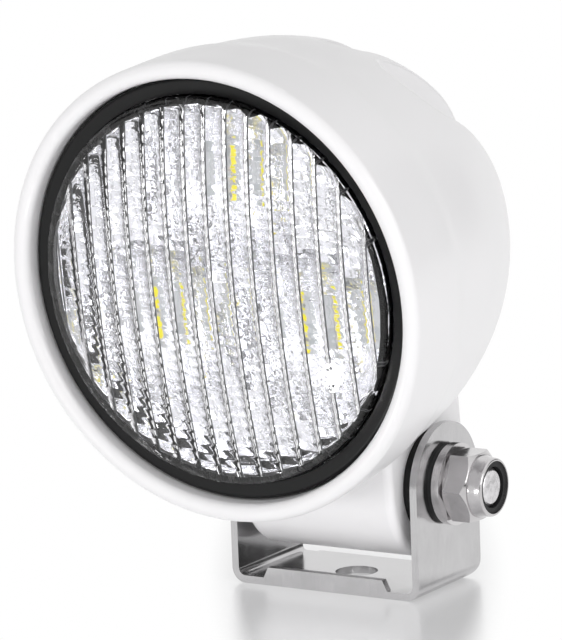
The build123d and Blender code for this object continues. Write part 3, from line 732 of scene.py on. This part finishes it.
@dataclass
class Studio:
    """White studio: camera, floor, world and soft lights, set for the photograph's view.

    Each cloth is a direction, and the angles from it within which it's dark and outside which it ends.
    Each panel is a name, a place and two sides in metres, and a power in watts.
    """

    azimuth_deg: float = 31.56
    elevation_deg: float = 10.40
    roll_deg: float = -1.97
    distance_mm: float = 800.0
    focal_px: float = 4107.5
    centre_px: tuple[float, float] = (67.31, 8.64)
    picture_px: tuple[int, int] = (562, 640)
    target_mm: tuple[float, float, float] = (0.0, 0.0, 50.0)
    sensor_mm: float = 36.0
    clip_m: tuple[float, float] = (0.05, 20.0)
    half_floor_m: float = 4.0
    ambient: float = 0.55
    mirrored: float = 1.0
    refracted: float = 1.4
    cloth: float = 0.08
    cloths: tuple = (
        ((0.25, -0.95, 0.05), 8.0, 16.0),
        ((-0.75, -0.6, 0.25), 8.0, 14.0),
        ((0.95, -0.25, 0.1), 7.0, 13.0),
        ((0.5, -0.6, 0.62), 6.0, 11.0),
        ((0.6, 0.78, 0.18), 14.0, 26.0),
    )
    panels: tuple = (
        ("key", (0.85, -0.35, 0.4), (0.5, 0.5), 2.6),
        ("fill", (-0.1, -1.0, 0.08), (0.9, 0.12), 3.3),
        ("top", (0.1, 0.1, 1.0), (0.5, 0.5), 0.1),
    )
    panel_aim_m: tuple[float, float, float] = (0.0, 0.0, 0.06)
    glint_place_m: tuple[float, float, float] = (0.0, -0.121, 0.006)
    glint_aim_m: tuple[float, float, float] = (0.0255, -0.0485, 0.0506)
    glint_mm: float = 9.0
    glint_power: float = 0.008

    def build(self) -> None:
        """Make the camera, the floor, the world and the lights."""
        self.camera()
        self.floor()
        self.world()
        self.lights()
        bpy.context.scene.view_settings.view_transform = "Standard"

    def camera(self) -> None:
        """Aim the camera: it turns about its own place until the target falls off the centre as wanted."""
        azimuth, elevation = math.radians(self.azimuth_deg), math.radians(self.elevation_deg)
        back = Vector((math.sin(azimuth) * math.cos(elevation), -math.cos(azimuth) * math.cos(elevation),
                       math.sin(elevation)))
        right = Vector((math.cos(azimuth), math.sin(azimuth), 0.0))
        up = back.cross(right)
        basis = Matrix((right, up, back)).transposed()
        roll = Matrix.Rotation(math.radians(self.roll_deg), 3, "Z")
        off = Vector((self.centre_px[0], -self.centre_px[1], -self.focal_px)).normalized()
        aim = Vector((0, 0, -1)).rotation_difference(off).to_matrix().inverted()
        turned = basis @ roll @ aim
        data = bpy.data.cameras.new("camera")
        data.sensor_width = self.sensor_mm
        data.lens = self.focal_px * data.sensor_width / max(self.picture_px)
        data.clip_start, data.clip_end = self.clip_m
        camera = bpy.data.objects.new("camera", data)
        place = Vector(self.target_mm) * MM + back * self.distance_mm * MM
        camera.matrix_world = Matrix.Translation(place) @ turned.to_4x4()
        bpy.context.scene.collection.objects.link(camera)
        bpy.context.scene.camera = camera

    def floor(self) -> None:
        """Lay a wide flat floor at the underside of the bracket."""
        half = self.half_floor_m
        corners = np.array([[-half, -half, 0], [-half, half, 0], [half, -half, 0], [half, half, 0]])
        piece = mesh_object("floor", corners, grid_faces(2, 2))
        piece.data.materials.append(StudioFloor().build())

    def world(self) -> None:
        """Light the scene evenly, show plain white to the camera, and dark cloths to mirrors and glass."""
        s = WorldSheet("studio")
        ray = s.add("ShaderNodeLightPath")
        place = s.add("ShaderNodeTexCoord")
        dark = None
        for toward, inner_deg, outer_deg in self.cloths:
            facing = s.add("ShaderNodeVectorMath", {
                0: (place, "Generated"), 1: tuple(Vector(toward).normalized())}, operation="DOT_PRODUCT")
            share = s.add("ShaderNodeMapRange", {
                "Value": (facing, "Value"), "From Min": math.cos(math.radians(outer_deg)),
                "From Max": math.cos(math.radians(inner_deg))}, interpolation_type="SMOOTHSTEP")
            dark = share if dark is None else s.add("ShaderNodeMath", {0: (dark, 0), 1: (share, 0)},
                                                    operation="MAXIMUM")
        sharp = s.add("ShaderNodeMath", {0: (ray, "Is Glossy Ray"), 1: (ray, "Is Transmission Ray")},
                      operation="ADD", use_clamp=True)
        hidden = s.add("ShaderNodeMath", {0: (sharp, 0), 1: (dark, 0)}, operation="MULTIPLY")
        even, mirrored, refracted, cloth, white = [
            s.add("ShaderNodeBackground", {"Color": WHITE, "Strength": strength})
            for strength in (self.ambient, self.mirrored, self.refracted, self.cloth, 1.0)]
        lit = s.add("ShaderNodeMixShader", {0: (ray, "Is Glossy Ray"), 1: (even, 0), 2: (mirrored, 0)})
        lit = s.add("ShaderNodeMixShader", {0: (ray, "Is Transmission Ray"), 1: (lit, 0), 2: (refracted, 0)})
        lit = s.add("ShaderNodeMixShader", {0: (hidden, 0), 1: (lit, 0), 2: (cloth, 0)})
        shown = s.add("ShaderNodeMixShader", {0: (ray, "Is Camera Ray"), 1: (lit, 0), 2: (white, 0)})
        s.finish(shown)

    def lights(self) -> None:
        """Set the soft boxes, and lay a small bright disc that the lens mirrors at its lower right."""
        glint = self.lamp("glint", "DISK", self.glint_place_m, self.glint_aim_m, self.glint_power)
        glint.data.size = self.glint_mm * MM
        glint.visible_camera = glint.visible_diffuse = False
        for name, place, sides, power in self.panels:
            panel = self.lamp(name, "RECTANGLE", place, self.panel_aim_m, power)
            panel.data.size, panel.data.size_y = sides
            panel.visible_glossy = name != "fill"

    @staticmethod
    def lamp(name: str, shape: str, place: tuple, aim: tuple, power: float) -> bpy.types.Object:
        """Add a flat lamp.

        Args:
            name: the lamp's name.
            shape: DISK or RECTANGLE.
            place: its middle, in metres.
            aim: the point that it's turned to, in metres.
            power: its power in watts.

        Returns:
            The lamp, with its size still to be set.
        """
        data = bpy.data.lights.new(name, "AREA")
        data.shape = shape
        data.energy = power
        lamp = bpy.data.objects.new(name, data)
        lamp.location = place
        lamp.rotation_mode = "QUATERNION"
        lamp.rotation_quaternion = (Vector(aim) - Vector(place)).to_track_quat("-Z", "Y")
        bpy.context.scene.collection.objects.link(lamp)
        return lamp


def dress(finishes: dict[str, bpy.types.Material]) -> None:
    """Give every CAD node its finish.

    Args:
        finishes: node name to material.
    """
    for name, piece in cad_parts.items():
        piece.data.materials.clear()
        piece.data.materials.append(finishes[name])
        LOG.info("%s: %s", name, finishes[name].name)


def add_piece(piece: bpy.types.Object, finish: bpy.types.Material, node: str | None) -> None:
    """Let a new piece ride on the lamp head.

    Args:
        piece: the piece.
        finish: its material.
        node: the CAD node that it stands for, or None for an extra piece.
    """
    piece.data.materials.append(finish)
    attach(piece, "head")
    if node:
        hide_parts(node)
    LOG.info("%s: %d faces, %s", piece.name, len(piece.data.polygons), finish.name)


def finish_table() -> dict[str, bpy.types.Material]:
    """Match each CAD node to the finish that the real piece has.

    Returns:
        Node name to material.
    """
    bracket = BareMetal("brushed_stainless_sheet", "c8c7c8", 0.17, Grain.ALONG_Z).build()
    bolt = BareMetal("rolled_stainless_bolt", "f0eef0", 0.3, line_mm=1.4, line_height_mm=0.2,
                     blotch_mm=1.6, darkest=0.55).build()
    washer = BareMetal("stamped_stainless_washer", "d2d0d1", 0.16).build()
    nut = BareMetal("cold_formed_stainless_nut", "cccacb", 0.17).build()
    black_nylon = Moulding("black_nylon", "131315", 0.5, specular=0.35).build()
    rubber = Moulding("black_rubber", "101011", 0.62, 0.8, specular=0.3).build()
    dark_plastic = Moulding("gland_polyamide", "1c1c1e", 0.42).build()
    screw = BareMetal("screw_stainless", "cac7ca", 0.25).build()
    mirror = MirrorCoat().build()
    return {
        "mounting_bracket": bracket,
        "pivot_bolt": bolt,
        "bolt_washer": washer,
        "nut_washer": washer,
        "left_isolator": black_nylon,
        "right_isolator": black_nylon,
        "left_friction_disc": rubber,
        "right_friction_disc": rubber,
        "lock_nut": nut,
        "nut_insert": black_nylon,
        "pivot_bush": BareMetal("turned_bush", "c4c1c4", 0.3).build(),
        "housing": PowderCoat().build(),
        "lens_gasket": rubber,
        "lens": ClearLens().build(),
        "bezel_ring": Moulding("black_bezel", "0c0c0d", 0.34, 0.4, 0.003, specular=0.3).build(),
        "reflector": mirror,
        "led_packages": Moulding("led_ceramic", "e9e7df", 0.5).build(),
        "led_phosphors": PhosphorGel().build(),
        "led_board": SolderMask("white_solder_mask", "e4e6e6", "cfd3d3").build(),
        "thermal_pad": Moulding("silicone_pad", "7d8790", 0.7).build(),
        "heat_spreader": BareMetal("milled_aluminium", "d8d9db", 0.35, Grain.ALONG_X).build(),
        "board_screws": screw,
        "driver_screws": screw,
        "driver_board": SolderMask("green_solder_mask", "14523a", "2a7a52").build(),
        "driver_standoffs": BareMetal("turned_brass", "cfae66", 0.3).build(),
        "driver_coil": Moulding("ferrite", "303033", 0.6).build(),
        "driver_capacitors": Moulding("shrink_sleeve", "17171c", 0.3).build(),
        "driver_chip": Moulding("chip_epoxy", "1c1c1d", 0.55).build(),
        "terminal_block": Moulding("terminal_polyamide", "2c6b3c", 0.45).build(),
        "gland_washer": rubber,
        "gland_body": dark_plastic,
        "gland_nut": dark_plastic,
        "gland_grommet": rubber,
        "vent_plug": dark_plastic,
    }


def main() -> None:
    """Build the studio, dress the CAD nodes and add the finer pieces."""
    logging.basicConfig(level=logging.INFO, format="%(name)s %(message)s")
    Studio().build()
    finishes = finish_table()
    dress(finishes)
    head = Head()
    add_piece(FlutedLens().build(head), finishes["lens"], "lens")
    seat = LensSeat()
    add_piece(seat.build_ring(head), finishes["lens_gasket"], "lens_gasket")
    add_piece(seat.build_skirt(head), finishes["reflector"], None)


if __name__ == "__main__":
    main()
